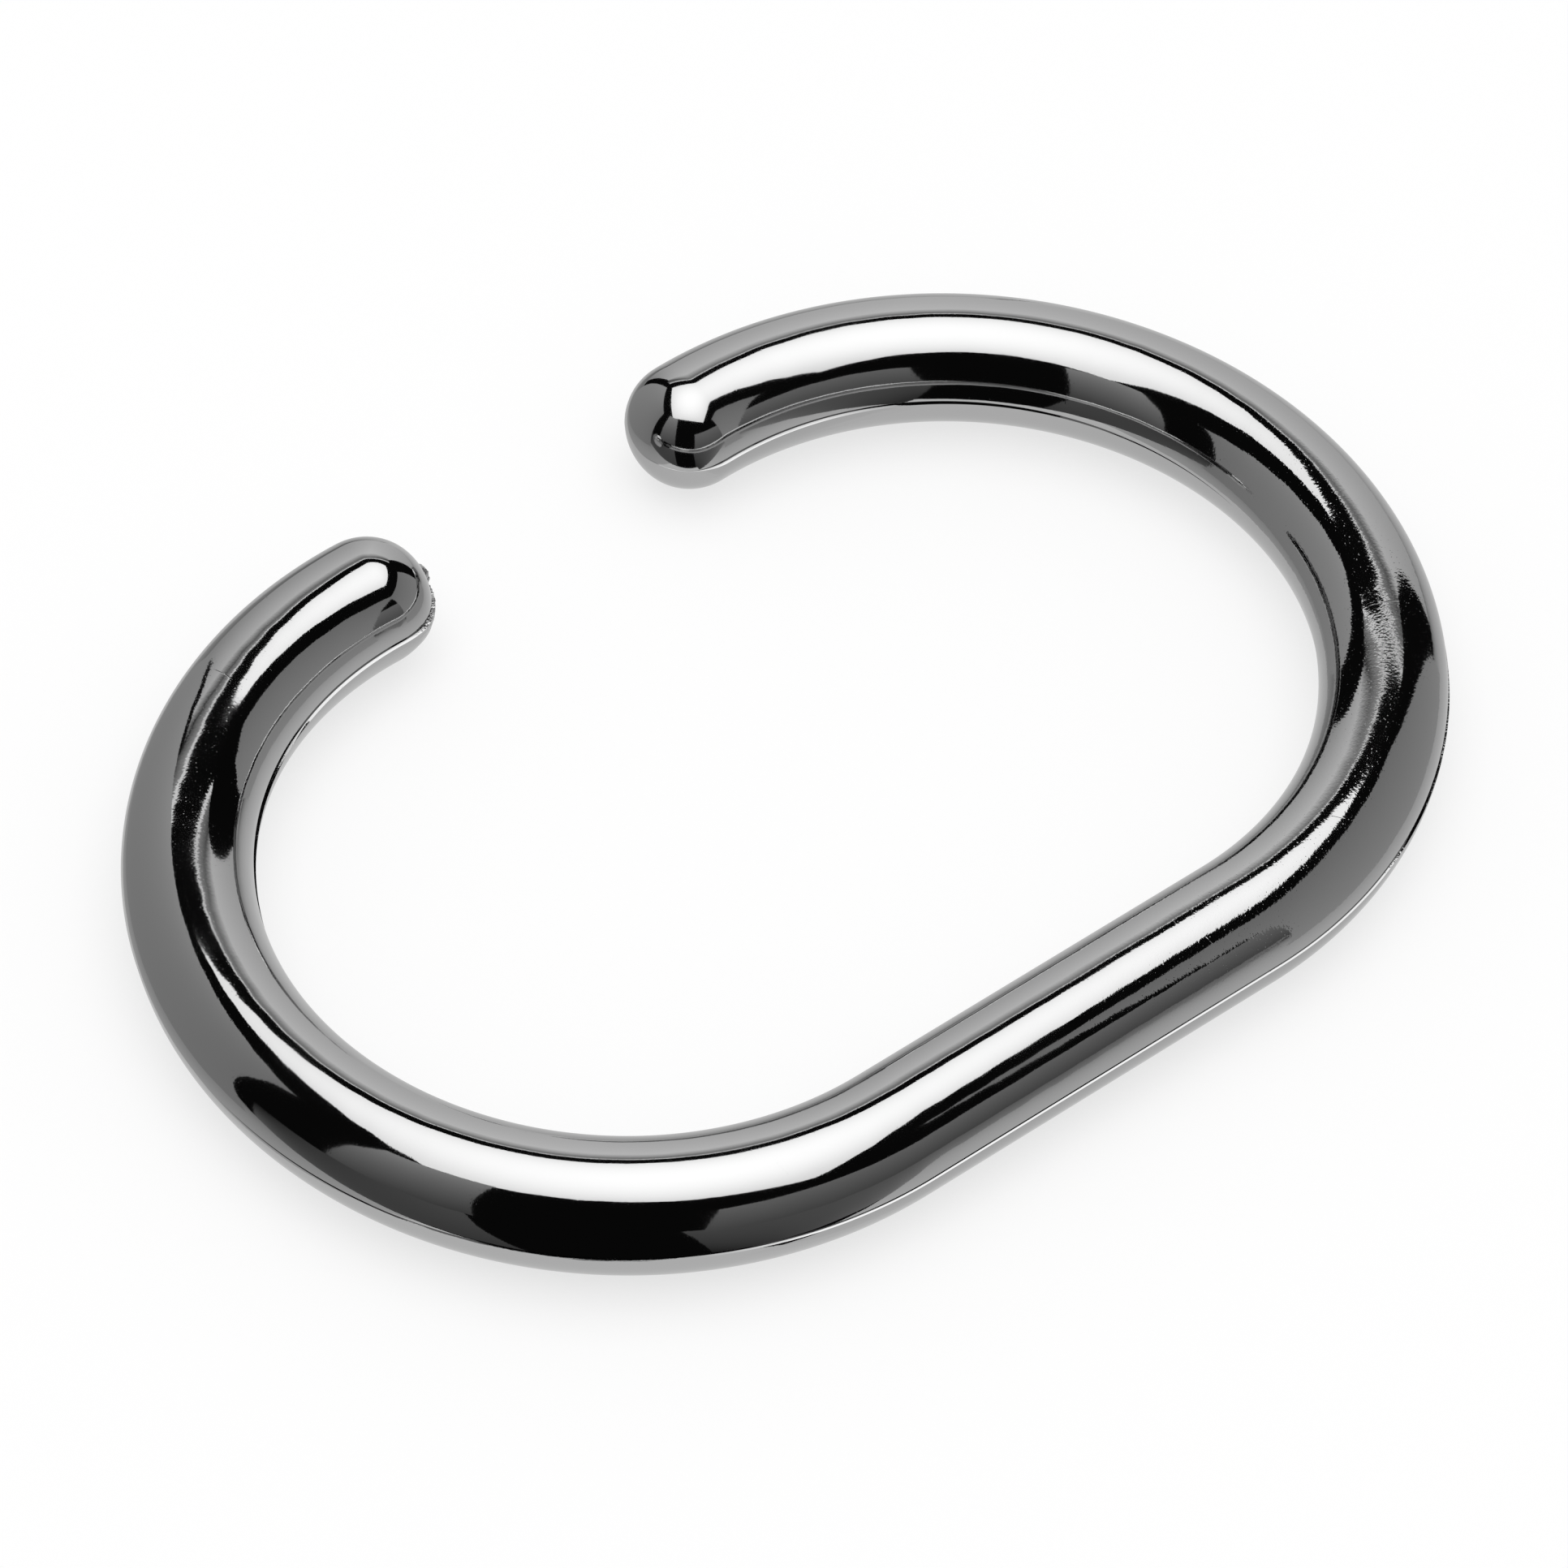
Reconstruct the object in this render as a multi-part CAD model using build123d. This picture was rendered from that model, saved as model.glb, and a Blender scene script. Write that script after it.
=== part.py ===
from build123d import *
import math
import os

# Open curtain ring, moulded in one piece: a round bar that runs along a straight side, round two lobes
# and back to two domed tips, with the mouth between them. The two halves of the mould meet on a level
# parting plane at half the bar's height, and a small mismatch between them leaves a ledge there.
# +X runs along the straight side, +Y points to the mouth and +Z is up. The ring lies flat on z = 0, and
# the origin is on that floor, under the middle of the ring.

# Driving dimensions in millimetres
overall_length = 65.0  # outside of one lobe to outside of the other, along X
overall_width = 45.0  # outside of the straight side to outside of the tips, in each mould half
section_diameter = 6.0  # round bar
mouth_gap = 12.9  # clear gap between the domed tips
mouth_offset = -0.2  # middle of the mouth, along X from the middle of the ring
mould_mismatch = 0.29  # the upper mould half sits this much nearer the mouth than the lower one
gate_root_diameter = 1.3  # stub left where the moulding was broken off its sprue
gate_end_diameter = 0.8
gate_height = 0.45  # how far the stub stands out of its tip
gate_root_depth = 0.5  # how far the stub reaches into its tip

# Sizes that follow from them
section_radius = section_diameter / 2
lobe_radius = (overall_width - section_diameter) / 2
lobe_centre_x = (overall_length - overall_width) / 2
parting_height = section_radius

LEFT = -1
RIGHT = 1


def half_section(x):
    """Half-round section of the upper mould half, across the straight side at x."""
    plane = Plane(origin=(x, -lobe_radius, parting_height), x_dir=(0, 1, 0), z_dir=(1, 0, 0))
    crown = CenterArc((0, 0), section_radius, 0, 180)
    parting_edge = Line((-section_radius, 0), (section_radius, 0))
    return plane * make_face(crown + parting_edge)


def tip_centre(side):
    """Centre of the dome at the end of one lobe."""
    x = mouth_offset + side * (mouth_gap / 2 + section_radius)
    y = math.sqrt(lobe_radius**2 - (lobe_centre_x - side * x) ** 2)
    return Vector(x, y, parting_height)


def tip_overrun(side):
    """Angle, in degrees, by which a lobe runs on past its half circle."""
    tip = tip_centre(side)
    return math.degrees(math.atan2(lobe_centre_x - side * tip.X, tip.Y))


def half_lobe(side):
    """Upper mould half of one lobe, from the straight side round to its domed tip."""
    lobe_axis = Axis((side * lobe_centre_x, 0, 0), (0, 0, side))
    bend = revolve(half_section(side * lobe_centre_x), lobe_axis, 180 + tip_overrun(side))
    half_dome = Sphere(section_radius, arc_size1=0, arc_size2=90, arc_size3=180, align=None)
    facing = Rot(0, 0, side * (90 + tip_overrun(side)))
    return bend + Pos(tip_centre(side)) * facing * half_dome


def gate_stub():
    """Short tapered stub on the end of the left tip, on the parting plane."""
    length = gate_root_depth + gate_height
    stub = Cone(gate_root_diameter / 2, gate_end_diameter / 2, length)
    facing = Rot(0, 0, -tip_overrun(LEFT)) * Rot(0, 90, 0)
    middle = Pos(0, 0, section_radius + gate_height - length / 2)
    return Pos(tip_centre(LEFT)) * facing * middle * stub


# One mould half above the parting plane, and its mirror image below
straight_side = extrude(half_section(-lobe_centre_x), 2 * lobe_centre_x)
upper_half = straight_side + half_lobe(LEFT) + half_lobe(RIGHT)
lower_half = mirror(upper_half, Plane.XY.offset(parting_height))

# The halves fuse to one moulding, each shifted by half of the mismatch
towards_mouth = Pos(0, mould_mismatch / 2, 0)
towards_straight = Pos(0, -mould_mismatch / 2, 0)
ring = towards_mouth * upper_half + towards_straight * lower_half + gate_stub()

os.makedirs("parts", exist_ok=True)
export_step(ring, "parts/ring.step")
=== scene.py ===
import math

import bmesh
import bpy
from mathutils import Matrix, Vector


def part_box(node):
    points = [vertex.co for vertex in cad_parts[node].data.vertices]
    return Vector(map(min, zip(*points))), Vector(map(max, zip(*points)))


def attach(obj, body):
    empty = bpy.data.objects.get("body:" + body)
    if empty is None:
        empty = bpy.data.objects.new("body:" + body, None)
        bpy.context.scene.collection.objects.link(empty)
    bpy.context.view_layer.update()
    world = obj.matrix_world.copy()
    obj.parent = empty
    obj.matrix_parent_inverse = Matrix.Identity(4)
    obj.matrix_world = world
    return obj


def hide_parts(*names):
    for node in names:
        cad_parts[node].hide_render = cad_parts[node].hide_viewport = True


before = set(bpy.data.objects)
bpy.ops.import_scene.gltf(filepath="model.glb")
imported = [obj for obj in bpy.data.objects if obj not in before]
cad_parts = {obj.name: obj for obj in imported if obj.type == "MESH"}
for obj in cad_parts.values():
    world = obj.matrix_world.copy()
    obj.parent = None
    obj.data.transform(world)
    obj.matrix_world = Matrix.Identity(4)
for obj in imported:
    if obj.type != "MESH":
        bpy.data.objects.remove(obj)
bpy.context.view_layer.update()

# A chrome-plated curtain ring, moulded in one piece: a straight run and two round lobes that
# stop short of each other at the mouth. It lies on a pale floor in a small table-top studio.
# Lengths in this script are millimetres and turn to metres where a mesh or an object is made.
MM = 0.001

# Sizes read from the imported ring
ring_low, ring_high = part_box("ring")
overall_length = (ring_high.x - ring_low.x) / MM
overall_width = (ring_high.y - ring_low.y) / MM
section_diameter = (ring_high.z - ring_low.z) / MM

# Sizes of the moulding that its box does not give
mould_mismatch = 0.29
mouth_gap = 13.05
mouth_offset = -0.275

# The ledge on the parting plane: its width on the straight run and at the tips, its slope, and
# the part of the rest of the mismatch by which the mould halves lean
ledge_width = 0.085
ledge_width_at_tips = 0.15
ledge_slope = 0.2
lean_part = 0.5

# The ledge slopes only where the lower half stands out squarely. With the cosine of the turn
# away from square, it starts to slope at the first value and slopes fully at the second.
sloping_from = 0.86
sloping_fully = 0.97

# Over the domes, between two angles in radians past their foot, the ledge shrinks to a share
ledge_shrinks_from = 0.05
ledge_shrinks_to = 0.7
ledge_share_on_domes = 0.16

# Stub of the gate on the left tip
gate_root_diameter = 1.45
gate_end_diameter = 0.70
gate_height = 0.36

# Flash beside the gate: how far it stands out, how deep it reaches and stays whole below the
# parting plane, how far its rim curls up, and the angles in radians past the dome's foot
# between which it grows
flash_height = 0.13
flash_depth = 2.0
flash_whole_depth = 0.7
flash_curl = 0.012
flash_from = 0.05
flash_fully = 0.55

# Tear of the gate and the flash: its depth below the rim, its grain, and the shares between
# which it varies their height and the curl
tear_depth = 0.15
tear_grain = 0.20
least_height_share = 0.75
most_height_share = 1.15
least_curl_share = 0.2
most_curl_share = 1.8

# Power that makes the domes a little fuller than half spheres, so the bar runs into them smoothly
dome_fullness = 0.93

# Sizes that follow
section_radius = section_diameter / 2
lobe_radius = (overall_width - mould_mismatch - section_diameter) / 2
straight_length = overall_length - section_diameter - 2 * lobe_radius

# Mesh fineness: rows along the ring, closer at its tips, and rows around its section, closer at
# the parting plane, where the first rows make the ledge
rows_along = 740
rows_around = 128
tip_bunching = 0.8
parting_bunching = 0.7
ledge_rows = 1

# Edges that bend more than this many degrees stay crisp
crisp_angle = 35

# Points nearer to each other than this join, which closes the sheet's seam and poles
seam_tolerance = 0.0002

# Points up to this far above the parting plane still belong to the tear
parting_tolerance = 0.01

# Noise between two values is stretched over a pattern's whole range, a closer pair for the curl
noise_low = 0.3
noise_high = 0.7
curl_noise_low = 0.35
curl_noise_high = 0.65

# Kinds of node used often. A map range takes a value, the range it is in and the range it goes to.
MATH = "ShaderNodeMath"
VECTOR_MATH = "ShaderNodeVectorMath"
MAP_RANGE = "ShaderNodeMapRange"
NOISE = "ShaderNodeTexNoise"
BUMP = "ShaderNodeBump"


def linear(hex_colour):
    """An sRGB hex colour as linear RGBA."""
    def channel(pair):
        value = int(pair, 16) / 255
        return value / 12.92 if value <= 0.04045 else ((value + 0.055) / 1.055) ** 2.4

    digits = hex_colour.lstrip("#")
    return (channel(digits[0:2]), channel(digits[2:4]), channel(digits[4:6]), 1.0)


def add_node(tree, kind, inputs=(), **settings):
    """Adds a node with its settings; inputs are sockets or nodes to link from, or plain values."""
    node = tree.nodes.new(kind)
    for name, value in settings.items():
        setattr(node, name, value)
    pairs = inputs.items() if isinstance(inputs, dict) else enumerate(inputs)
    for socket, value in pairs:
        if isinstance(value, bpy.types.Node):
            value = value.outputs[0]
        if isinstance(value, bpy.types.NodeSocket):
            tree.links.new(value, node.inputs[socket])
        else:
            node.inputs[socket].default_value = value
    return node


def new_material(name):
    """An empty node material and its output node."""
    material = bpy.data.materials.new(name)
    material.use_nodes = True
    material.node_tree.nodes.clear()
    return material, material.node_tree.nodes.new("ShaderNodeOutputMaterial")


# Chrome on moulded ABS


def chrome_plating():
    """Bright chromium, plated over copper and nickel on moulded ABS.

    The metal is neutral grey and mirror bright. The plating follows the moulding's skin, so
    the mirror is a little restless: it swells gently, edges in it come out ragged, and small
    pits and hairline scratches catch the light. Where the plastic was torn it sparkles.
    """
    material, output = new_material("chrome_plated_abs")
    tree = material.node_tree
    place = add_node(tree, "ShaderNodeTexCoord").outputs["Object"]
    skin = add_node(tree, "ShaderNodeAttribute", attribute_name="skin_place",
                    attribute_type="GEOMETRY").outputs["Vector"]
    torn = add_node(tree, "ShaderNodeAttribute", attribute_name="torn",
                    attribute_type="GEOMETRY").outputs["Fac"]

    # The plating grew coarser on two stretches of the lobes. Each has its middle along the ring,
    # how far from there it is coarsest and how far it fades out, and how coarse it gets.
    coarse_stretches_mm = ((22.0, 12.0, 26.0, 1.0), (-54.0, 8.0, 18.0, 0.45))
    fine_share = 0.2
    way = add_node(tree, "ShaderNodeSeparateXYZ", (skin,)).outputs["X"]
    stretches = []
    for middle_mm, full_mm, gone_mm, share in coarse_stretches_mm:
        past_middle = add_node(tree, MATH, (way, middle_mm), operation="SUBTRACT")
        off_middle = add_node(tree, MATH, (past_middle,), operation="ABSOLUTE")
        stretches.append(add_node(tree, MAP_RANGE, (off_middle, full_mm, gone_mm, share, fine_share),
                                  interpolation_type="SMOOTHSTEP"))
    coarse = add_node(tree, MATH, stretches, operation="MAXIMUM")

    # Gentle swell of the moulding, and the finer grain of the plated skin
    swell_mm = 1.3
    swell_depth_mm = 0.008
    swell = add_node(tree, NOISE, {"Vector": place, "Scale": 1 / (swell_mm * MM), "Detail": 0.0})
    swollen = add_node(tree, BUMP,
                       {"Height": swell, "Strength": 1.0, "Distance": swell_depth_mm * MM})
    grain_mm = 0.15
    grain_depth_mm = 0.0020
    grain = add_node(tree, NOISE, {"Vector": place, "Scale": 1 / (grain_mm * MM), "Detail": 1.0,
                                   "Roughness": 0.5})
    grain_depth = add_node(tree, MATH, (coarse, grain_depth_mm * MM), operation="MULTIPLY")
    grained = add_node(tree, BUMP, {"Height": grain, "Strength": 1.0, "Distance": grain_depth,
                                    "Normal": swollen})

    # Pits: one small round dimple in most cells, its radius a share of their spacing. They are
    # drawn a little wider than the real ones, so that they show at the picture's size.
    pit_spacing_mm = 0.13
    pit_depth_mm = 0.0018
    unpitted_share = 0.3
    least_radius = 0.001
    most_radius = 0.40
    pit_cell = add_node(tree, "ShaderNodeTexVoronoi",
                        {"Vector": place, "Scale": 1 / (pit_spacing_mm * MM), "Randomness": 1.0})
    pit_chance = add_node(tree, "ShaderNodeSeparateColor", (pit_cell.outputs["Color"],))
    pit_radius = add_node(tree, MAP_RANGE,
                          (pit_chance.outputs["Red"], unpitted_share, 1.0, least_radius, most_radius))
    pit_shape = add_node(tree, MAP_RANGE, (pit_cell.outputs["Distance"], 0.0, pit_radius, 0.0, 1.0),
                         interpolation_type="SMOOTHSTEP")
    pit_depth = add_node(tree, MATH, (coarse, pit_depth_mm * MM), operation="MULTIPLY")
    pitted = add_node(tree, BUMP, {"Height": pit_shape, "Strength": 1.0, "Distance": pit_depth,
                                   "Normal": grained})

    # Hairline scratches: one short line in some cells of the skin as laid out flat
    scratch_cell_mm = (8.0, 5.0, 1.0)
    scratch_width_mm = 0.03
    scratch_depth_mm = 0.002
    unscratched_share = 0.5
    longest_half_mm = 0.8
    in_cells = add_node(tree, VECTOR_MATH, (skin, scratch_cell_mm), operation="DIVIDE")
    scratch_cell = add_node(tree, "ShaderNodeTexVoronoi",
                            {"Vector": in_cells, "Scale": 1.0, "Randomness": 1.0},
                            voronoi_dimensions="2D")
    from_middle = add_node(tree, VECTOR_MATH, (in_cells, scratch_cell.outputs["Position"]),
                           operation="SUBTRACT")
    from_middle_mm = add_node(tree, VECTOR_MATH, (from_middle, scratch_cell_mm),
                              operation="MULTIPLY")
    scratch_place = add_node(tree, "ShaderNodeSeparateXYZ", (from_middle_mm,)).outputs
    chance = add_node(tree, "ShaderNodeSeparateColor", (scratch_cell.outputs["Color"],)).outputs
    slant = add_node(tree, MATH, (chance["Red"], 0.5), operation="SUBTRACT")
    bent = add_node(tree, MATH, (scratch_place["Y"], slant, scratch_place["X"]),
                    operation="MULTIPLY_ADD")
    off_line = add_node(tree, MATH, (bent,), operation="ABSOLUTE")
    groove = add_node(tree, MAP_RANGE, (off_line, 0.0, scratch_width_mm, 1.0, 0.0))
    half_length = add_node(tree, MAP_RANGE,
                           (chance["Green"], unscratched_share, 1.0, 0.0, longest_half_mm))
    along_line = add_node(tree, MATH, (scratch_place["Y"],), operation="ABSOLUTE")
    within = add_node(tree, MATH, (along_line, half_length), operation="LESS_THAN")
    scratch = add_node(tree, MATH, (groove, within), operation="MULTIPLY")
    scratched = add_node(tree, BUMP, {"Height": scratch, "Strength": 1.0,
                                      "Distance": scratch_depth_mm * MM, "Normal": pitted},
                         invert=True)

    # Torn plastic at the gate and its flash, plated as it was left
    tear_mm = 0.18
    tear_depth_mm = 0.03
    torn_dullness = 0.08
    tear = add_node(tree, NOISE, {"Vector": place, "Scale": 1 / (tear_mm * MM), "Detail": 1.0,
                                  "Roughness": 0.6})
    tear_height = add_node(tree, MATH, (tear, torn), operation="MULTIPLY")
    skin_normal = add_node(tree, BUMP, {"Height": tear_height, "Strength": 1.0,
                                        "Distance": tear_depth_mm * MM, "Normal": scratched})

    # Polish, a little duller in patches and where the plastic is torn
    polish_patch_mm = 5.0
    best_polish = 0.03
    dull_polish = 0.07
    patch = add_node(tree, NOISE,
                     {"Vector": place, "Scale": 1 / (polish_patch_mm * MM), "Detail": 2.0})
    polish = add_node(tree, MAP_RANGE, (patch, noise_low, noise_high, best_polish, dull_polish))
    roughness = add_node(tree, MATH, (torn, torn_dullness, polish), operation="MULTIPLY_ADD")
    metal = add_node(tree, "ShaderNodeBsdfPrincipled",
                     {"Base Color": linear("#C5C5C5"), "Metallic": 1.0, "Roughness": roughness,
                      "Normal": skin_normal})
    tree.links.new(metal.outputs[0], output.inputs["Surface"])
    return material


# The ring


def ring_tree():
    """Geometry Nodes for the ring: a sheet of points wrapped along the ring's centre line.

    A point's place along the sheet is its way along the ring, counted from the middle of the
    straight run, and its place across the sheet is its angle round the section. Past each tip
    the way goes on over a dome. The two mould halves stand apart at the parting plane, which
    leaves a ledge, and the left tip keeps the torn stub of its gate with some flash.
    """
    tree = bpy.data.node_groups.new("moulded_ring", "GeometryNodeTree")
    sizes = ("Straight length", "Lobe radius", "Section radius", "Left sweep", "Right sweep",
             "Mould mismatch", "Ledge width", "Ledge width at tips", "Ledge slope",
             "Gate root radius", "Gate end radius", "Gate height", "Flash height", "Flash depth",
             "Flash whole depth", "Flash curl", "Tear depth", "Tear grain")
    for name in sizes:
        tree.interface.new_socket(name=name, in_out="INPUT", socket_type="NodeSocketFloat")
    for name in ("Rows along", "Rows around", "Ledge rows"):
        tree.interface.new_socket(name=name, in_out="INPUT", socket_type="NodeSocketInt")
    tree.interface.new_socket(name="Finish", in_out="INPUT", socket_type="NodeSocketMaterial")
    tree.interface.new_socket(name="Ring", in_out="OUTPUT", socket_type="NodeSocketGeometry")
    given = tree.nodes.new("NodeGroupInput").outputs
    result = tree.nodes.new("NodeGroupOutput")

    # The flat sheet, one unit by one unit about its middle
    row_points = add_node(tree, MATH, (given["Rows around"], 1.0), operation="ADD")
    sheet = add_node(tree, "GeometryNodeMeshGrid", (1.0, 1.0, given["Rows along"], row_points))
    spot = add_node(tree, "ShaderNodeSeparateXYZ", (add_node(tree, "GeometryNodeInputPosition"),))
    along_sheet = spot.outputs["X"]
    across_sheet = spot.outputs["Y"]

    # Way along the ring, from the left dome's pole to the right dome's pole
    half_straight = add_node(tree, MATH, (given["Straight length"], 0.5), operation="MULTIPLY")
    quarter_turn = math.pi / 2
    whole_turn = 2 * math.pi
    dome_way = add_node(tree, MATH, (given["Section radius"], quarter_turn), operation="MULTIPLY")
    poles = []
    for lobe in ("Left sweep", "Right sweep"):
        lobe_way = add_node(tree, MATH, (given["Lobe radius"], given[lobe], half_straight),
                            operation="MULTIPLY_ADD")
        poles.append(add_node(tree, MATH, (lobe_way, dome_way), operation="ADD"))
    left_pole = add_node(tree, MATH, (poles[0], -1.0), operation="MULTIPLY")
    right_pole = poles[1]
    share_turn = add_node(tree, MATH, (along_sheet, whole_turn), operation="MULTIPLY")
    share_sine = add_node(tree, MATH, (share_turn,), operation="SINE")
    share = add_node(tree, MATH, (share_sine, tip_bunching / whole_turn, along_sheet),
                     operation="MULTIPLY_ADD")
    way = add_node(tree, MAP_RANGE, (share, -0.5, 0.5, left_pole, right_pole))
    reach = add_node(tree, MATH, (way,), operation="ABSOLUTE")
    side = add_node(tree, MATH, (way,), operation="SIGN")
    on_left = add_node(tree, MATH, (way, 0.0), operation="LESS_THAN")
    sweep = add_node(tree, "GeometryNodeSwitch",
                     {"Switch": on_left, "False": given["Right sweep"], "True": given["Left sweep"]},
                     input_type="FLOAT")

    # Straight run, lobe and dome each take their share of the way
    along_straight = add_node(tree, MATH, (reach, half_straight), operation="MINIMUM")
    past_straight = add_node(tree, MATH, (reach, along_straight), operation="SUBTRACT")
    lobe_length = add_node(tree, MATH, (given["Lobe radius"], sweep), operation="MULTIPLY")
    into_lobe = add_node(tree, MATH, (past_straight, lobe_length), operation="MINIMUM")
    past_tip = add_node(tree, MATH, (past_straight, into_lobe), operation="SUBTRACT")
    turn = add_node(tree, MATH, (into_lobe, given["Lobe radius"]), operation="DIVIDE")
    sine_turn = add_node(tree, MATH, (turn,), operation="SINE")
    cosine_turn = add_node(tree, MATH, (turn,), operation="COSINE")
    dome_angle = add_node(tree, MATH, (past_tip, given["Section radius"]), operation="DIVIDE")
    plain_sine = add_node(tree, MATH, (dome_angle,), operation="SINE", use_clamp=True)
    plain_cosine = add_node(tree, MATH, (dome_angle,), operation="COSINE", use_clamp=True)
    dome_sine = add_node(tree, MATH, (plain_sine, dome_fullness), operation="POWER")
    dome_cosine = add_node(tree, MATH, (plain_cosine, dome_fullness), operation="POWER")
    girth = add_node(tree, MATH, (given["Section radius"], dome_cosine), operation="MULTIPLY")

    # Angle round the section: the first and last rows of each mould half stay on the parting
    # plane and make its share of the ledge, and the rows between go over the arc. The ledge
    # runs out at the poles, so that they close.
    half = add_node(tree, MATH, (across_sheet,), operation="SIGN")
    lower_half = add_node(tree, MATH, (half, 0.5), operation="LESS_THAN")
    from_outside = add_node(tree, MATH, (across_sheet,), operation="ABSOLUTE")
    round_share = add_node(tree, MATH, (from_outside, 2.0), operation="MULTIPLY")
    half_rows = add_node(tree, MATH, (given["Rows around"], 0.5), operation="MULTIPLY")
    ledge_share = add_node(tree, MATH, (given["Ledge rows"], half_rows), operation="DIVIDE")
    arc_end = add_node(tree, MATH, (1.0, ledge_share), operation="SUBTRACT")
    arc_angle = add_node(tree, MAP_RANGE, (round_share, ledge_share, arc_end, 0.0, math.pi))
    double_angle = add_node(tree, MATH, (arc_angle, 2.0), operation="MULTIPLY")
    bunching = add_node(tree, MATH, (double_angle,), operation="SINE")
    row_angle = add_node(tree, MATH, (bunching, -parting_bunching / 2, arc_angle),
                         operation="MULTIPLY_ADD")
    row_cosine = add_node(tree, MATH, (row_angle,), operation="COSINE")
    row_sine = add_node(tree, MATH, (row_angle,), operation="SINE")
    across = add_node(tree, MATH, (girth, row_cosine), operation="MULTIPLY")
    height = add_node(tree, MATH, (girth, row_sine), operation="MULTIPLY")
    upward = add_node(tree, MATH, (height, half), operation="MULTIPLY")
    from_inside = add_node(tree, MATH, (1.0, round_share), operation="SUBTRACT")
    nearest_side = add_node(tree, MATH, (round_share, from_inside), operation="MINIMUM")
    onto_ledge = add_node(tree, MATH, (nearest_side, ledge_share), operation="DIVIDE", use_clamp=True)
    off_pole = add_node(tree, MATH, (girth, given["Gate end radius"]), operation="DIVIDE",
                        use_clamp=True)
    off_seam = add_node(tree, MATH, (onto_ledge, off_pole), operation="MULTIPLY")

    # Torn plastic on the left dome: the stub of the gate at its pole, and flash by which the
    # lower half stands out along the parting line, from the inner side round to the gate. The
    # flash runs out down the lower half, and its rim is torn.
    gate = add_node(tree, MAP_RANGE,
                    (girth, given["Gate root radius"], given["Gate end radius"], 0.0, 1.0),
                    interpolation_type="SMOOTHSTEP")
    left_gate = add_node(tree, MATH, (gate, on_left), operation="MULTIPLY")
    beside_gate = add_node(tree, MATH, (on_left, left_gate), operation="SUBTRACT")
    inner_side = add_node(tree, MATH, (row_cosine, 0.0), operation="LESS_THAN")
    flash_start = add_node(tree, MAP_RANGE, (dome_angle, flash_from, flash_fully, 0.0, 1.0),
                           interpolation_type="SMOOTHSTEP")
    flash_along = add_node(tree, MATH, (flash_start, inner_side), operation="MULTIPLY")
    flash_on_left = add_node(tree, MATH, (flash_along, beside_gate), operation="MULTIPLY")
    flash_foot = add_node(tree, MATH, (given["Flash depth"], -1.0), operation="MULTIPLY")
    flash_rim = add_node(tree, MATH, (given["Flash whole depth"], -1.0), operation="MULTIPLY")
    flash_rise = add_node(tree, MAP_RANGE, (upward, flash_foot, flash_rim, 0.0, 1.0),
                          interpolation_type="SMOOTHSTEP")
    on_seam = add_node(tree, MATH, (1.0, onto_ledge), operation="SUBTRACT")
    below_seam = add_node(tree, MATH, (lower_half, on_seam), operation="MAXIMUM")
    flash_across = add_node(tree, MATH, (flash_rise, below_seam), operation="MULTIPLY")
    flash = add_node(tree, MATH, (flash_on_left, flash_across), operation="MULTIPLY")
    below_upper_half = add_node(tree, MATH, (upward, parting_tolerance), operation="LESS_THAN")
    tear_foot = add_node(tree, MATH, (given["Tear depth"], -1.0), operation="MULTIPLY")
    tear_rise = add_node(tree, MAP_RANGE, (upward, tear_foot, 0.0, 0.0, 1.0))
    torn_across = add_node(tree, MATH, (tear_rise, below_upper_half), operation="MULTIPLY")
    torn_flash = add_node(tree, MATH, (flash_on_left, torn_across), operation="MULTIPLY")
    torn = add_node(tree, MATH, (torn_flash, left_gate), operation="MAXIMUM")

    # The tear varies how far stub and flash stand out
    tip_place = add_node(tree, "ShaderNodeCombineXYZ", (past_tip, across, upward))
    tears_across = add_node(tree, MATH, (1.0, given["Tear grain"]), operation="DIVIDE")
    tear = add_node(tree, NOISE, {"Vector": tip_place, "Scale": tears_across, "Detail": 3.0})
    tear_size = add_node(tree, MAP_RANGE,
                         (tear, noise_low, noise_high, least_height_share, most_height_share))
    flash_size = add_node(tree, MATH, (given["Flash height"], given["Section radius"]),
                          operation="DIVIDE")
    flash_stand = add_node(tree, MATH, (flash_size, tear_size), operation="MULTIPLY")
    flash_swell = add_node(tree, MATH, (flash_stand, flash, 1.0), operation="MULTIPLY_ADD")
    gate_stand = add_node(tree, MATH, (given["Gate height"], tear_size), operation="MULTIPLY")
    gate_reach = add_node(tree, MATH, (gate_stand, left_gate), operation="MULTIPLY")
    swollen_across = add_node(tree, MATH, (across, flash_swell), operation="MULTIPLY")
    outward = add_node(tree, MATH, (swollen_across, given["Lobe radius"]), operation="ADD")
    plain_reach = add_node(tree, MATH, (given["Section radius"], dome_sine), operation="MULTIPLY")
    dome_reach = add_node(tree, MATH, (plain_reach, flash_swell, gate_reach),
                          operation="MULTIPLY_ADD")

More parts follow.
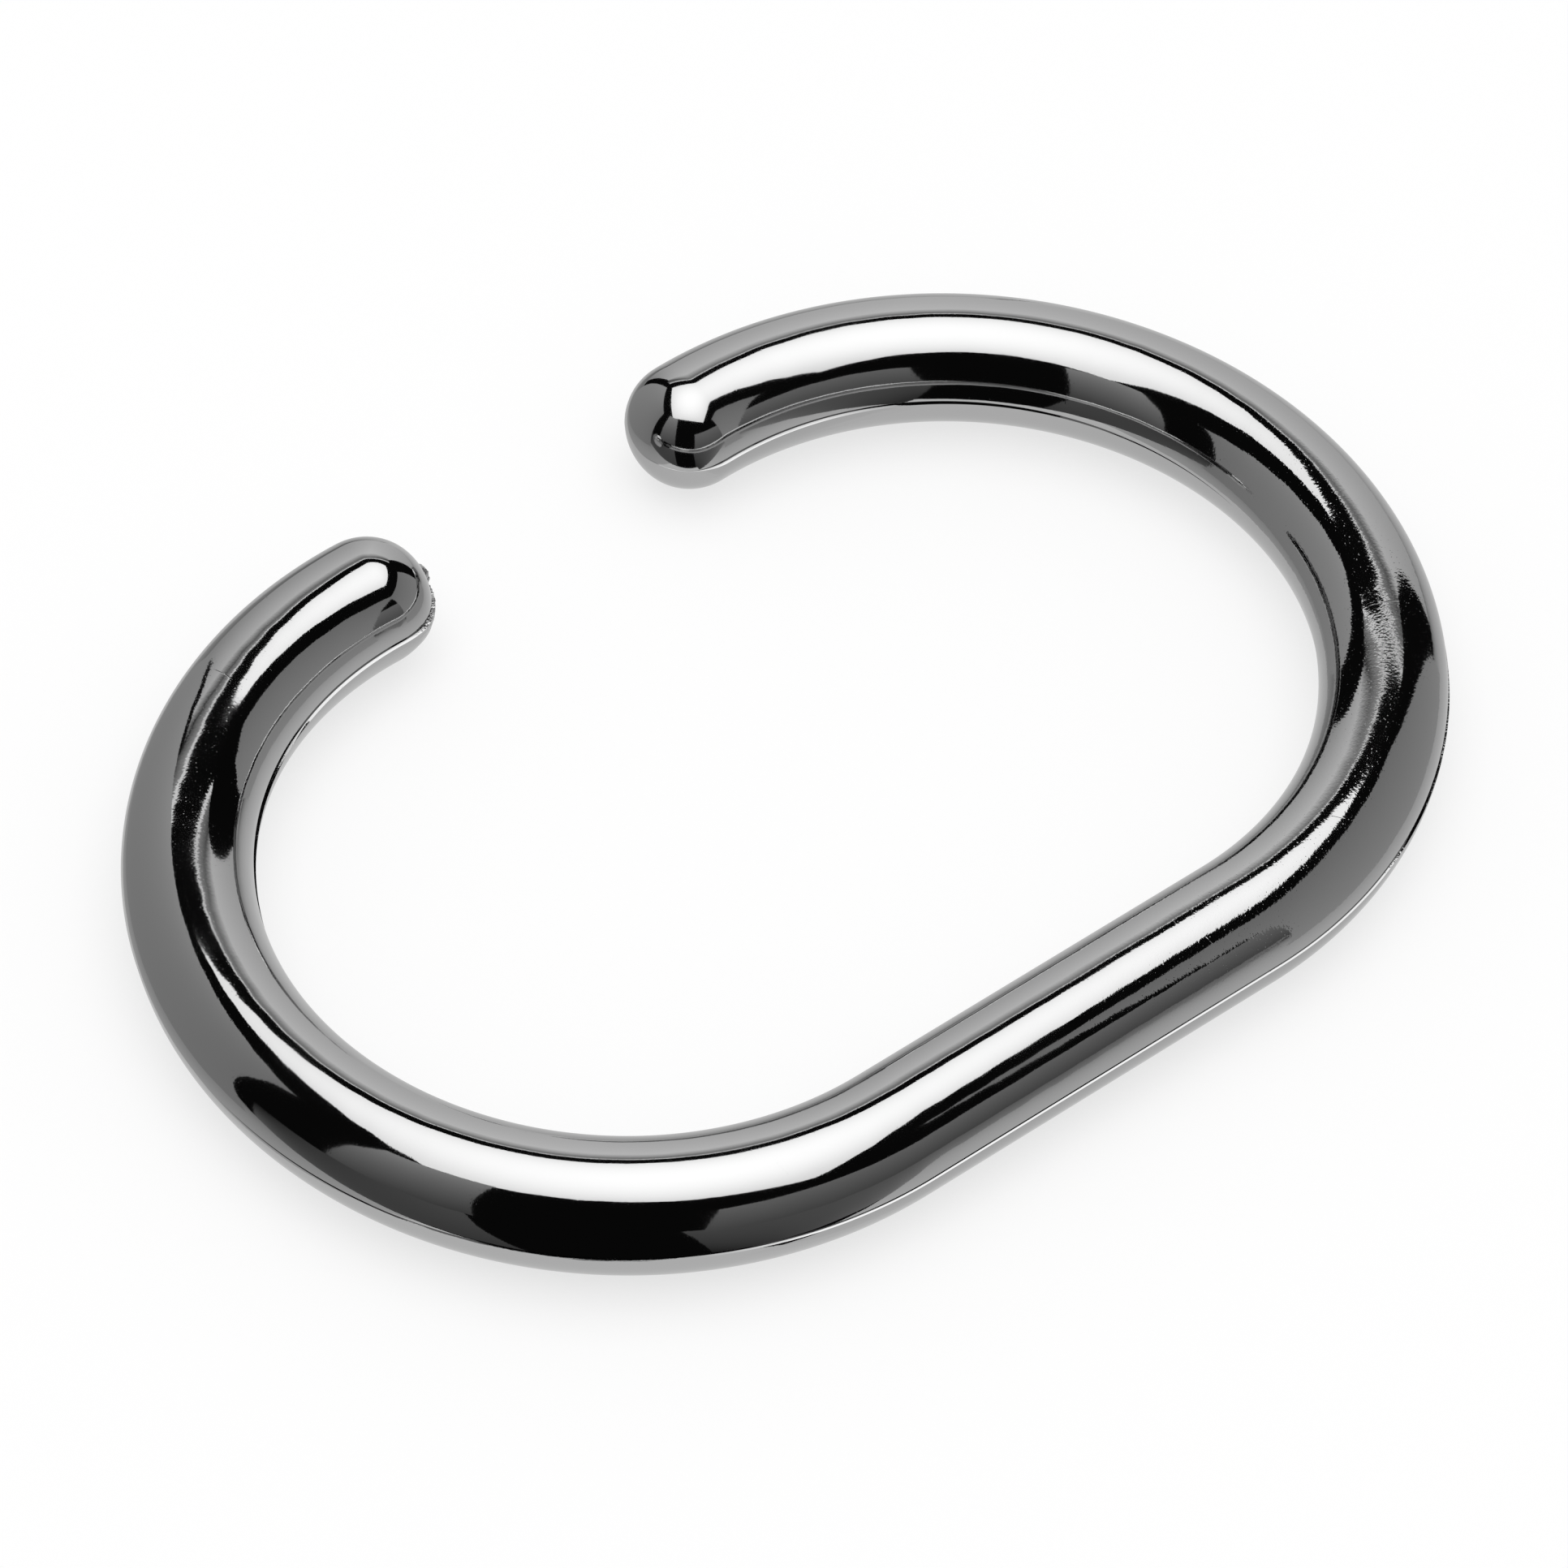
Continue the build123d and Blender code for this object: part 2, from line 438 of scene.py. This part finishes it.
    # The upper mould half stands towards the mouth and the lower half away from it: part of
    # the mismatch is the ledge, which grows towards the tips, and some of the rest comes in as
    # the halves lean
    half_ledge_start = add_node(tree, MATH, (given["Ledge width"], 0.5), operation="MULTIPLY")
    half_ledge_end = add_node(tree, MATH, (given["Ledge width at tips"], 0.5), operation="MULTIPLY")
    half_width = add_node(tree, MAP_RANGE,
                          (reach, half_straight, right_pole, half_ledge_start, half_ledge_end))
    ledge_left = add_node(tree, MAP_RANGE, (dome_angle, ledge_shrinks_from, ledge_shrinks_to,
                                            1.0, ledge_share_on_domes),
                          interpolation_type="SMOOTHSTEP")
    half_ledge = add_node(tree, MATH, (half_width, ledge_left), operation="MULTIPLY")
    ledge_shift = add_node(tree, MATH, (half_ledge, off_seam), operation="MULTIPLY")
    half_mismatch = add_node(tree, MATH, (given["Mould mismatch"], 0.5), operation="MULTIPLY")
    rest = add_node(tree, MATH, (half_mismatch, half_ledge), operation="SUBTRACT")
    lean = add_node(tree, MATH, (rest, lean_part), operation="MULTIPLY")
    lean_share = add_node(tree, MATH, (height, given["Section radius"]), operation="DIVIDE")
    half_shift = add_node(tree, MATH, (lean, lean_share, ledge_shift), operation="MULTIPLY_ADD")
    shift = add_node(tree, MATH, (half_shift, half), operation="MULTIPLY")

    # The ledge slopes down a little where the lower half stands out squarely: outside on the
    # straight run and inside at the tips. The flash curls up a little.
    row_side = add_node(tree, MATH, (row_cosine,), operation="SIGN")
    squarely = add_node(tree, MATH, (cosine_turn, row_side), operation="MULTIPLY", use_clamp=True)
    sloping = add_node(tree, MAP_RANGE, (squarely, sloping_from, sloping_fully, 0.0, 1.0),
                       interpolation_type="SMOOTHSTEP")
    from_crown = add_node(tree, MATH, (1.0, row_sine), operation="SUBTRACT")
    rim = add_node(tree, MATH, (off_seam, from_crown), operation="MULTIPLY")
    signed_rim = add_node(tree, MATH, (rim, half), operation="MULTIPLY")
    slope = add_node(tree, MATH, (sloping, given["Ledge slope"]), operation="MULTIPLY")
    rim_fall = add_node(tree, MATH, (slope, half_ledge), operation="MULTIPLY")
    sloped = add_node(tree, MATH, (signed_rim, rim_fall, upward), operation="MULTIPLY_ADD")
    curl_size = add_node(tree, MAP_RANGE,
                         (tear, curl_noise_low, curl_noise_high, least_curl_share, most_curl_share))
    curl = add_node(tree, MATH, (given["Flash curl"], curl_size), operation="MULTIPLY")
    level = add_node(tree, MATH, (flash, curl, sloped), operation="MULTIPLY_ADD")

    # Places in the ring's own frame
    lobe_x = add_node(tree, MATH, (outward, sine_turn, along_straight), operation="MULTIPLY_ADD")
    dome_x = add_node(tree, MATH, (dome_reach, cosine_turn, lobe_x), operation="MULTIPLY_ADD")
    x = add_node(tree, MATH, (dome_x, side), operation="MULTIPLY")
    dome_y = add_node(tree, MATH, (dome_reach, sine_turn, shift), operation="MULTIPLY_ADD")
    lobe_y = add_node(tree, MATH, (outward, cosine_turn), operation="MULTIPLY")
    y = add_node(tree, MATH, (dome_y, lobe_y), operation="SUBTRACT")
    z = add_node(tree, MATH, (level, given["Section radius"]), operation="ADD")
    point = add_node(tree, "ShaderNodeCombineXYZ", (x, y, z))
    point_in_metres = add_node(tree, VECTOR_MATH, {0: point, "Scale": MM}, operation="SCALE")

    # The finish follows the skin as laid out flat, and knows where the plastic is torn
    signed_angle = add_node(tree, MATH, (row_angle, half), operation="MULTIPLY")
    around = add_node(tree, MATH, (signed_angle, given["Section radius"]), operation="MULTIPLY")
    flat_place = add_node(tree, "ShaderNodeCombineXYZ", (way, around, 0.0))
    marked = add_node(tree, "GeometryNodeStoreNamedAttribute",
                      {"Geometry": sheet, "Name": "skin_place", "Value": flat_place},
                      data_type="FLOAT_VECTOR", domain="POINT")
    marked_torn = add_node(tree, "GeometryNodeStoreNamedAttribute",
                           {"Geometry": marked, "Name": "torn", "Value": torn},
                           data_type="FLOAT", domain="POINT")

    # The sheet is wrapped to the ring, closed at its seam and poles, and shaded
    wrapped = add_node(tree, "GeometryNodeSetPosition",
                       {"Geometry": marked_torn, "Position": point_in_metres})
    closed = add_node(tree, "GeometryNodeMergeByDistance",
                      {"Geometry": wrapped, "Distance": seam_tolerance * MM})
    smooth = add_node(tree, "GeometryNodeSetShadeSmooth", {"Geometry": closed})
    bend_angle = add_node(tree, "GeometryNodeInputMeshEdgeAngle")
    crisp = add_node(tree, MATH, (bend_angle, math.radians(crisp_angle)), operation="GREATER_THAN")
    edged = add_node(tree, "GeometryNodeSetShadeSmooth",
                     {"Geometry": smooth, "Selection": crisp, "Shade Smooth": False}, domain="EDGE")
    realized = add_node(tree, "GeometryNodeRealizeInstances", {"Geometry": edged})
    finished = add_node(tree, "GeometryNodeSetMaterial",
                        {"Geometry": realized, "Material": given["Finish"]})
    tree.links.new(finished.outputs[0], result.inputs["Ring"])
    return tree


def lobe_sweep(side):
    """How far a lobe turns, from the straight run to the centre of its tip."""
    tip_x = mouth_gap / 2 + section_radius + side * mouth_offset
    return math.pi + math.asin((straight_length / 2 - tip_x) / lobe_radius)


def plain_mesh(name, tree, values):
    """Runs a Geometry Nodes tree with these input values and keeps its result as a plain mesh."""
    carrier = bpy.data.objects.new(name, bpy.data.meshes.new(name + "_start"))
    bpy.context.scene.collection.objects.link(carrier)
    modifier = carrier.modifiers.new("make", "NODES")
    modifier.node_group = tree
    for item in tree.interface.items_tree:
        if item.in_out == "INPUT":
            modifier[item.identifier] = values[item.name]
    evaluated = carrier.evaluated_get(bpy.context.evaluated_depsgraph_get())
    mesh = bpy.data.meshes.new_from_object(evaluated)
    carrier.modifiers.remove(modifier)
    carrier.data = mesh
    outwards = bmesh.new()
    outwards.from_mesh(mesh)
    bmesh.ops.recalc_face_normals(outwards, faces=outwards.faces)
    outwards.to_mesh(mesh)
    outwards.free()
    return carrier


ring = plain_mesh("ring_moulding", ring_tree(), {
    "Straight length": straight_length,
    "Lobe radius": lobe_radius,
    "Section radius": section_radius,
    "Left sweep": lobe_sweep(-1),
    "Right sweep": lobe_sweep(1),
    "Mould mismatch": mould_mismatch,
    "Ledge width": ledge_width,
    "Ledge width at tips": ledge_width_at_tips,
    "Ledge slope": ledge_slope,
    "Gate root radius": gate_root_diameter / 2,
    "Gate end radius": gate_end_diameter / 2,
    "Gate height": gate_height,
    "Flash height": flash_height,
    "Flash depth": flash_depth,
    "Flash whole depth": flash_whole_depth,
    "Flash curl": flash_curl,
    "Tear depth": tear_depth,
    "Tear grain": tear_grain,
    "Rows along": rows_along,
    "Rows around": rows_around,
    "Ledge rows": ledge_rows,
    "Finish": chrome_plating(),
})
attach(ring, "root")
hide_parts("ring")

# Studio

# Camera: its angles in degrees, and how far it is from the point that it aims at
view_azimuth = -40.996
view_elevation = 49.450
view_roll = 3.186
view_distance = 382.1
aim_point = Vector((-1.15, -0.73, 3.0))
lens_mm = 192.4
sensor_mm = 36.0
nearest_seen = 10

# The set is squared to the camera. A place in it is given as millimetres across to the
# right, away from the camera and up, counted from the ring's middle on the floor.
set_azimuth = math.radians(-41.2)
across_axis = Vector((math.cos(set_azimuth), math.sin(set_azimuth), 0))
away_axis = Vector((-math.sin(set_azimuth), math.cos(set_azimuth), 0))
up_axis = Vector((0, 0, 1))
softbox_height = 1000
base_drop = -90
floor_reach = 6000
room_reach = 3000

# Light: how much of the floor's white is its own to the camera, the fill from all round, and the
# overhead lamp's width, depth and power in watts
floor_own_white = 0.70
fill_level = 0.60
lamp_width = 1200
lamp_depth = 1300
lamp_power = 6.2


def set_place(across, away, height):
    """A place in the set, in metres in the ring's frame."""
    return (across * across_axis + away * away_axis + height * up_axis) * MM


def camera():
    """The camera at the photograph's angle, with a long lens."""
    data = bpy.data.cameras.new("camera")
    data.lens = lens_mm
    data.sensor_width = sensor_mm
    data.clip_start = nearest_seen * MM
    holder = bpy.data.objects.new("camera", data)
    azimuth = math.radians(view_azimuth)
    elevation = math.radians(view_elevation)
    back = Vector((math.sin(azimuth) * math.cos(elevation),
                   -math.cos(azimuth) * math.cos(elevation),
                   math.sin(elevation)))
    right = Vector((math.cos(azimuth), math.sin(azimuth), 0))
    up = back.cross(right)
    turned = Matrix((right, up, back)).transposed().to_4x4()
    roll = Matrix.Rotation(math.radians(view_roll), 4, "Z")
    place = (aim_point + back * view_distance) * MM
    holder.matrix_world = Matrix.Translation(place) @ turned @ roll
    bpy.context.scene.collection.objects.link(holder)
    bpy.context.scene.camera = holder


def stage_mesh(name, vertices, faces, material):
    """A mesh of the set, which is not part of the object."""
    mesh = bpy.data.meshes.new(name)
    mesh.from_pydata(vertices, [], faces)
    mesh.materials.append(material)
    thing = bpy.data.objects.new(name, mesh)
    bpy.context.scene.collection.objects.link(thing)
    return thing


def only_in_reflections(thing):
    """Cards hang round the ring for the chrome to mirror, out of the picture itself."""
    thing.visible_camera = False
    thing.visible_diffuse = False
    thing.visible_shadow = False


def seen_share(tree):
    """1 for what the camera, a mirror or glass sees, and 0 for light that falls on a matt thing."""
    path = add_node(tree, "ShaderNodeLightPath").outputs
    seen = add_node(tree, MATH, (path["Is Camera Ray"], path["Is Glossy Ray"]), operation="ADD")
    return add_node(tree, MATH, (seen, path["Is Transmission Ray"]), operation="ADD",
                    use_clamp=True)


def floor_board():
    """A pale matt board under the ring, part white by itself to the camera, so the shadow is light."""
    material, output = new_material("matt_white_board")
    tree = material.node_tree
    board = add_node(tree, "ShaderNodeBsdfPrincipled",
                     {"Base Color": linear("#FCFCFC"), "Roughness": 0.9})
    white = add_node(tree, "ShaderNodeEmission", {"Color": (1, 1, 1, 1), "Strength": 1.0})
    white_share = add_node(tree, MATH, (seen_share(tree), floor_own_white), operation="MULTIPLY")
    either = add_node(tree, "ShaderNodeMixShader", (white_share, board, white))
    tree.links.new(either.outputs[0], output.inputs["Surface"])
    reach = floor_reach * MM
    corners = [(-reach, -reach, 0), (reach, -reach, 0), (reach, reach, 0), (-reach, reach, 0)]
    floor = stage_mesh("floor_board", corners, [(0, 1, 2, 3)], material)
    # The ring is mirrored as it stood for its portrait, raised clear of the pale base below,
    # so its chrome sees that base and not the floor that it lies on here.
    floor.visible_glossy = False


def card_material():
    """Card glowing with painted light, each corner at its own grey, which the mesh carries as a
    colour.
    """
    material, output = new_material("painted_light_card")
    tree = material.node_tree
    shade = add_node(tree, "ShaderNodeAttribute", attribute_name="shade", attribute_type="GEOMETRY")
    glow = add_node(tree, "ShaderNodeEmission", {"Color": shade.outputs["Color"], "Strength": 1.0})
    tree.links.new(glow.outputs[0], output.inputs["Surface"])
    return material


painted_light_card = card_material()


def card(name, corners, greys, strength=1.0, bow=0.0, rounding=0.0):
    """A card with four corners in the set and a grey of painted light at each, faded evenly between
    them.

    Strength lights the whole card, bow adds that share more light towards its middle, and
    rounding draws its third corner in, from 0 for a plain card to 1 for a round corner.
    """
    steps = 24
    vertices, shades, faces = [], [], []
    corner_places = [set_place(*corner) for corner in corners]
    corner_shades = [Vector(linear(grey)) * strength for grey in greys]

    def between(values, s, t):
        lower = values[0].lerp(values[1], s)
        upper = values[3].lerp(values[2], s)
        return lower.lerp(upper, t)

    for row in range(steps + 1):
        for column in range(steps + 1):
            s = column / steps
            t = row / steps
            # 1 in the card's middle and 0 at its edges
            towards_middle = 16 * s * (1 - s) * t * (1 - t)
            # From -1 to 1 each way, and drawn in at the third corner, as a square is made round
            u = (2 * s - 1) * math.sqrt(1 - rounding * s * t * (2 * t - 1) ** 2 / 2)
            v = (2 * t - 1) * math.sqrt(1 - rounding * s * t * (2 * s - 1) ** 2 / 2)
            vertices.append(between(corner_places, (u + 1) / 2, (v + 1) / 2))
            shades.append(between(corner_shades, s, t) * (1 + bow * towards_middle))
    for row in range(steps):
        for column in range(steps):
            first = row * (steps + 1) + column
            faces.append((first, first + 1, first + steps + 2, first + steps + 1))
    thing = stage_mesh(name, vertices, faces, painted_light_card)
    shade = thing.data.attributes.new("shade", "FLOAT_COLOR", "POINT")
    for point, colour in zip(shade.data, shades):
        point.color = colour
    only_in_reflections(thing)


def dark_room():
    """Painted shade of an unlit room: a box round the set glowing faintly, black between the cards."""
    material, output = new_material("unlit_room")
    tree = material.node_tree
    dark = add_node(tree, "ShaderNodeEmission", {"Color": linear("#0C0C0C"), "Strength": 1.0})
    tree.links.new(dark.outputs[0], output.inputs["Surface"])
    ends = (-room_reach, room_reach)
    corners = [set_place(across, away, height)
               for height in ends for away in ends for across in ends]
    walls = [(0, 1, 3, 2), (4, 6, 7, 5), (0, 4, 5, 1), (2, 3, 7, 6), (0, 2, 6, 4), (1, 5, 7, 3)]
    only_in_reflections(stage_mesh("dark_room", corners, walls, material))


def overhead_lamp():
    """A soft lamp overhead, which lights the floor and gives the ring its shadow."""
    data = bpy.data.lights.new("overhead_lamp", "AREA")
    data.shape = "RECTANGLE"
    data.size = lamp_width * MM
    data.size_y = lamp_depth * MM
    data.energy = lamp_power
    lamp = bpy.data.objects.new("overhead_lamp", data)
    lamp.location = set_place(0, 0, softbox_height)
    lamp.rotation_euler = (0, 0, set_azimuth)
    lamp.visible_glossy = False
    bpy.context.scene.collection.objects.link(lamp)


def surroundings():
    """White wherever a view or a mirror looks past the set, and a soft fill for the rest."""
    world = bpy.data.worlds.new("white_surroundings")
    bpy.context.scene.world = world
    world.use_nodes = True
    tree = world.node_tree
    tree.nodes.clear()
    white = add_node(tree, "ShaderNodeBackground", {"Color": (1, 1, 1, 1), "Strength": 1.0})
    fill = add_node(tree, "ShaderNodeBackground", {"Color": (1, 1, 1, 1), "Strength": fill_level})
    either = add_node(tree, "ShaderNodeMixShader", (seen_share(tree), fill, white))
    output = tree.nodes.new("ShaderNodeOutputWorld")
    tree.links.new(either.outputs[0], output.inputs["Surface"])


bpy.context.scene.view_settings.view_transform = "Standard"
camera()
floor_board()
surroundings()
overhead_lamp()
dark_room()

# Softbox overhead
card("softbox",
     ((-550, -640, softbox_height), (800, -700, softbox_height), (575, 745, softbox_height),
      (-480, 590, softbox_height)),
     ("#ECECEC", "#E4E4E4", "#FCFCFC", "#F0F0F0"), strength=1.5, bow=0.39, rounding=0.5)

# Wall behind the ring, in painted light and shade: a panel that fades out upwards, a dim band and a
# bright rail above it
card("back_panel_left",
     ((-465, 700, base_drop), (-20, 700, base_drop), (-20, 700, 520), (-420, 700, 520)),
     ("#989898", "#D0D0D0", "#E8E8E8", "#CCCCCC"))
card("back_panel_right",
     ((-20, 700, base_drop), (680, 700, base_drop), (400, 700, 540), (-20, 700, 520)),
     ("#D0D0D0", "#B0B0B0", "#D4D4D4", "#E8E8E8"))
card("back_fade_left",
     ((-420, 700, 520), (-20, 700, 520), (-20, 700, 720), (-425, 700, 610)),
     ("#C4C4C4", "#E8E8E8", "#8C8C8C", "#303030"))
card("back_fade_right",
     ((-20, 700, 520), (400, 700, 540), (390, 700, 630), (-20, 700, 720)),
     ("#E0E0E0", "#D0D0D0", "#303030", "#8C8C8C"))
card("back_band_left",
     ((-480, 702, 610), (-20, 702, 720), (-20, 702, 770), (-485, 702, 740)),
     ("#383838", "#8C8C8C", "#A0A0A0", "#A0A0A0"))
card("back_band_right",
     ((-20, 702, 720), (400, 702, 630), (455, 702, 705), (-20, 702, 770)),
     ("#8C8C8C", "#5C5C5C", "#848484", "#A0A0A0"))
card("back_rail_left",
     ((-490, 701, 740), (-20, 701, 770), (-20, 701, 800), (-490, 701, 785)),
     ("#E8E8E8", "#E4E4E4", "#F0F0F0", "#F4F4F4"), strength=1.15)
card("back_rail_right",
     ((-20, 701, 770), (465, 701, 705), (480, 701, 740), (-20, 701, 800)),
     ("#E4E4E4", "#DCDCDC", "#F0F0F0", "#F0F0F0"), strength=1.15)

# Cards at both sides, their greys painted light and shade of the side walls
card("left_card",
     ((-175, -60, -80), (-110, 150, -80), (-110, 120, 150), (-175, -55, 170)),
     ("#888888", "#989898", "#B0B0B0", "#888888"))
card("right_card",
     ((200, 165, -70), (200, -65, -70), (200, -75, 180), (200, 150, 205)),
     ("#A0A0A0", "#A0A0A0", "#808080", "#888888"))

# Cards in front, their greys painted light and shade, with a dark gap in the middle
card("front_left_strip",
     ((-330, -250, 5), (-110, -250, 5), (-130, -250, 380), (-325, -250, 485)),
     ("#5C5C5C", "#484848", "#989898", "#9C9C9C"))
card("front_left_low",
     ((-720, -251, -320), (-75, -251, -260), (-120, -251, 15), (-680, -251, -15)),
     ("#707070", "#404040", "#585858", "#101010"))
card("front_right_card",
     ((75, -252, -5), (890, -252, -70), (770, -252, 330), (100, -252, 165)),
     ("#545454", "#545454", "#787878", "#787878"))
card("front_right_low",
     ((110, -253, -315), (750, -253, -315), (740, -253, -35), (60, -253, 15)),
     ("#040404", "#BCBCBC", "#747474", "#545454"))

# Base below the ring: a pale board, its greys painted light and shade, darker towards some corners
card("base_left",
     ((-445, -100, base_drop), (-75, -100, base_drop), (-190, 785, base_drop),
      (-435, 705, base_drop)),
     ("#101010", "#B8B8B8", "#303030", "#B4B4B4"))
card("base_middle",
     ((-75, -100, base_drop), (45, -100, base_drop), (20, 785, base_drop), (-190, 785, base_drop)),
     ("#DCDCDC", "#DCDCDC", "#C0C0C0", "#202020"))
card("base_right",
     ((30, -65, base_drop), (710, -260, base_drop), (695, 720, base_drop), (35, 850, base_drop)),
     ("#D4D4D4", "#303030", "#686868", "#D0D0D0"))
